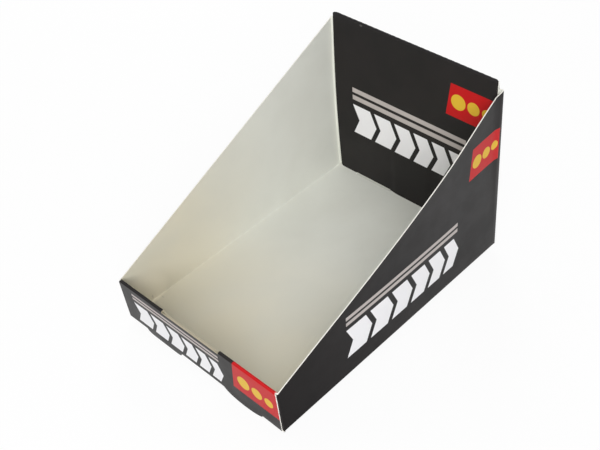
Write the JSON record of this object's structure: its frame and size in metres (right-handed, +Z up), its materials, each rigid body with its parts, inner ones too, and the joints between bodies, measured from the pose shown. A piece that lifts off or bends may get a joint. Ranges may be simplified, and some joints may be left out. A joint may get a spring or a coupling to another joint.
{
  "type": "counter display box",
  "caption": "Open display tray folded from one sheet of black-printed board: low front, sloping sides, tall back, rolled and locked double end walls.",
  "frame": {"origin": "under the middle of the tray, at the height its feet stand on", "axes": "+X to the right as seen from the front, +Y to the tall back wall, +Z up"},
  "size_m": [0.15, 0.219, 0.1444],
  "materials": {
    "printed_board": "black printed outside, plain light board inside"
  },
  "bodies": {
    "root": {"display_tray": "printed_board"}
  },
  "joints": []
}
